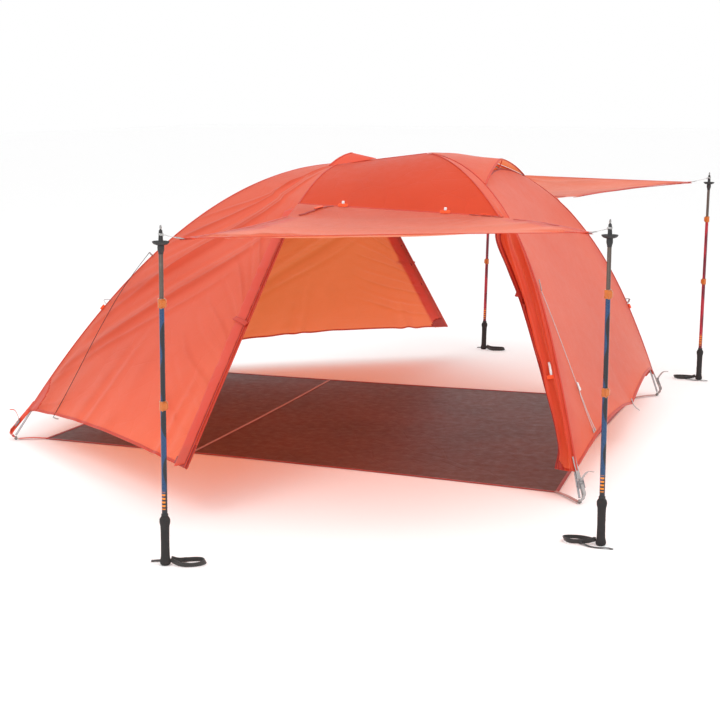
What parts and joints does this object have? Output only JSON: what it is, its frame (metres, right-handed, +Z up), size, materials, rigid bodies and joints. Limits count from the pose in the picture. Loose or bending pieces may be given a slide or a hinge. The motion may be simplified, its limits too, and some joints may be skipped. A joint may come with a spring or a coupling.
{
  "type": "camping tent",
  "caption": "Dome tent pitched as fly, hubbed poles and groundsheet, with both side doors held out as awnings on upturned trekking poles.",
  "frame": {"origin": "centre of the groundsheet's underside, on the ground", "axes": "+X towards the head end, +Y towards the far side, across the doors, +Z up"},
  "size_m": [2.7192, 4.1698, 1.2365],
  "materials": {
    "fly": "thin ripstop nylon with a silicone coat, satin",
    "floor": "coated ripstop nylon, satin",
    "webbing": "woven webbing",
    "buckle": "moulded acetal",
    "alloy": "anodised tube",
    "hub": "moulded nylon",
    "tip": "machined",
    "hook": "moulded acetal",
    "cord_white": "braided cord",
    "cord_dark": "braided cord",
    "grip": "moulded foam",
    "strap": "woven webbing",
    "clamp": "moulded nylon",
    "shaft_blue": "lacquered aluminium",
    "shaft_red": "lacquered aluminium",
    "shaft_bare": "anodised",
    "basket": "moulded nylon"
  },
  "bodies": {
    "root": {"groundsheet": "floor", "corner_webbing": "webbing", "corner_buckles": "buckle", "ridge_pole": "alloy", "pole_hubs": "hub", "pole_legs": "alloy", "pole_tips": "tip", "foot_panel": "fly", "head_panel": "fly", "near_roof": "fly", "far_roof": "fly", "near_foot_side": "fly", "far_foot_side": "fly", "near_head_side": "fly", "far_head_side": "fly", "head_hood": "fly", "foot_hood": "fly", "head_guyline": "cord_white", "foot_guyline": "cord_dark", "pole_grips": "grip", "pole_straps": "strap", "upper_clamps": "clamp", "near_left_upper": "shaft_blue", "near_right_upper": "shaft_blue", "far_left_upper": "shaft_red", "far_right_upper": "shaft_red"},
    "near_door": {"near_door": "fly", "near_hooks": "hook", "near_left_cord": "cord_white", "near_right_cord": "cord_white"},
    "far_door": {"far_door": "fly", "far_hooks": "hook", "far_left_cord": "cord_white", "far_right_cord": "cord_white"},
    "brow_pole": {"brow_pole": "alloy"},
    "head_strut": {"head_strut": "hub"},
    "near_left_middle": {"near_left_middle": "shaft_blue", "near_left_clamp": "clamp"},
    "near_left_lower": {"near_left_lower": "shaft_bare", "near_left_basket": "basket"},
    "near_left_lever_1": {"near_left_lever_1": "clamp"},
    "near_left_lever_2": {"near_left_lever_2": "clamp"},
    "near_right_middle": {"near_right_middle": "shaft_blue", "near_right_clamp": "clamp"},
    "near_right_lower": {"near_right_lower": "shaft_bare", "near_right_basket": "basket"},
    "near_right_lever_1": {"near_right_lever_1": "clamp"},
    "near_right_lever_2": {"near_right_lever_2": "clamp"},
    "far_left_middle": {"far_left_middle": "shaft_red", "far_left_clamp": "clamp"},
    "far_left_lower": {"far_left_lower": "shaft_bare", "far_left_basket": "basket"},
    "far_left_lever_1": {"far_left_lever_1": "clamp"},
    "far_left_lever_2": {"far_left_lever_2": "clamp"},
    "far_right_middle": {"far_right_middle": "shaft_red", "far_right_clamp": "clamp"},
    "far_right_lower": {"far_right_lower": "shaft_bare", "far_right_basket": "basket"},
    "far_right_lever_1": {"far_right_lever_1": "clamp"},
    "far_right_lever_2": {"far_right_lever_2": "clamp"}
  },
  "joints": [
    {"name": "near_door_swing", "type": "hinge", "parent": "root", "child": "near_door", "pos_m": [-0.058, -0.515, 1], "axis": [0.9976, -0.0696, 0.0055], "range_deg": [0, 38]},
    {"name": "far_door_swing", "type": "hinge", "parent": "root", "child": "far_door", "pos_m": [-0.058, 0.515, 1], "axis": [-0.9976, -0.0696, -0.0055], "range_deg": [0, 38]},
    {"name": "brow_swivel", "type": "hinge", "parent": "root", "child": "brow_pole", "pos_m": [0.18, 0, 1.172], "axis": [0, 0, 1], "range_deg": [0, 90]},
    {"name": "strut_fold", "type": "hinge", "parent": "root", "child": "head_strut", "pos_m": [0.671, 0, 1.175], "axis": [0, 1, 0], "range_deg": [0, 90]},
    {"name": "near_left_middle_slide", "type": "slide", "parent": "root", "child": "near_left_middle", "axis": [0.0131, 0, 0.9999], "range_m": [-0.28, 0.14]},
    {"name": "near_left_lower_slide", "type": "slide", "parent": "near_left_middle", "child": "near_left_lower", "axis": [0.0131, 0, 0.9999], "range_m": [-0.13, 0.2]},
    {"name": "near_left_lever_1_open", "type": "hinge", "parent": "root", "child": "near_left_lever_1", "pos_m": [0.14273, -2.14616, 0.52408], "axis": [-0.0131, 0, -0.9999], "range_deg": [0, 100]},
    {"name": "near_left_lever_2_open", "type": "hinge", "parent": "near_left_middle", "child": "near_left_lever_2", "pos_m": [0.14698, -2.14616, 0.84905], "axis": [-0.0131, 0, -0.9999], "range_deg": [0, 100]},
    {"name": "near_right_middle_slide", "type": "slide", "parent": "root", "child": "near_right_middle", "axis": [-0.0035, 0, 1], "range_m": [-0.28, 0.14]},
    {"name": "near_right_lower_slide", "type": "slide", "parent": "near_right_middle", "child": "near_right_lower", "axis": [-0.0035, 0, 1], "range_m": [-0.13, 0.2]},
    {"name": "near_right_lever_1_open", "type": "hinge", "parent": "root", "child": "near_right_lever_1", "pos_m": [1.41406, -1.47616, 0.52422], "axis": [0.0035, 0, -1], "range_deg": [0, 100]},
    {"name": "near_right_lever_2_open", "type": "hinge", "parent": "near_right_middle", "child": "near_right_lever_2", "pos_m": [1.41292, -1.47616, 0.84922], "axis": [0.0035, 0, -1], "range_deg": [0, 100]},
    {"name": "far_left_middle_slide", "type": "slide", "parent": "root", "child": "far_left_middle", "axis": [0.0209, 0, 0.9998], "range_m": [-0.28, 0.14]},
    {"name": "far_left_lower_slide", "type": "slide", "parent": "far_left_middle", "child": "far_left_lower", "axis": [0.0209, 0, 0.9998], "range_m": [-0.13, 0.2]},
    {"name": "far_left_lever_1_open", "type": "hinge", "parent": "root", "child": "far_left_lever_1", "pos_m": [0.10007, 2.00116, 0.52421], "axis": [-0.0209, 0, -0.9998], "range_deg": [0, 100]},
    {"name": "far_left_lever_2_open", "type": "hinge", "parent": "far_left_middle", "child": "far_left_lever_2", "pos_m": [0.10688, 2.00116, 0.84914], "axis": [-0.0209, 0, -0.9998], "range_deg": [0, 100]},
    {"name": "far_right_middle_slide", "type": "slide", "parent": "root", "child": "far_right_middle", "axis": [0.007, 0, 1], "range_m": [-0.28, 0.14]},
    {"name": "far_right_lower_slide", "type": "slide", "parent": "far_right_middle", "child": "far_right_lower", "axis": [0.007, 0, 1], "range_m": [-0.13, 0.2]},
    {"name": "far_right_lever_1_open", "type": "hinge", "parent": "root", "child": "far_right_lever_1", "pos_m": [1.39777, 1.50616, 0.52423], "axis": [-0.007, 0, -1], "range_deg": [0, 100]},
    {"name": "far_right_lever_2_open", "type": "hinge", "parent": "far_right_middle", "child": "far_right_lever_2", "pos_m": [1.40004, 1.50616, 0.84922], "axis": [-0.007, 0, -1], "range_deg": [0, 100]}
  ]
}
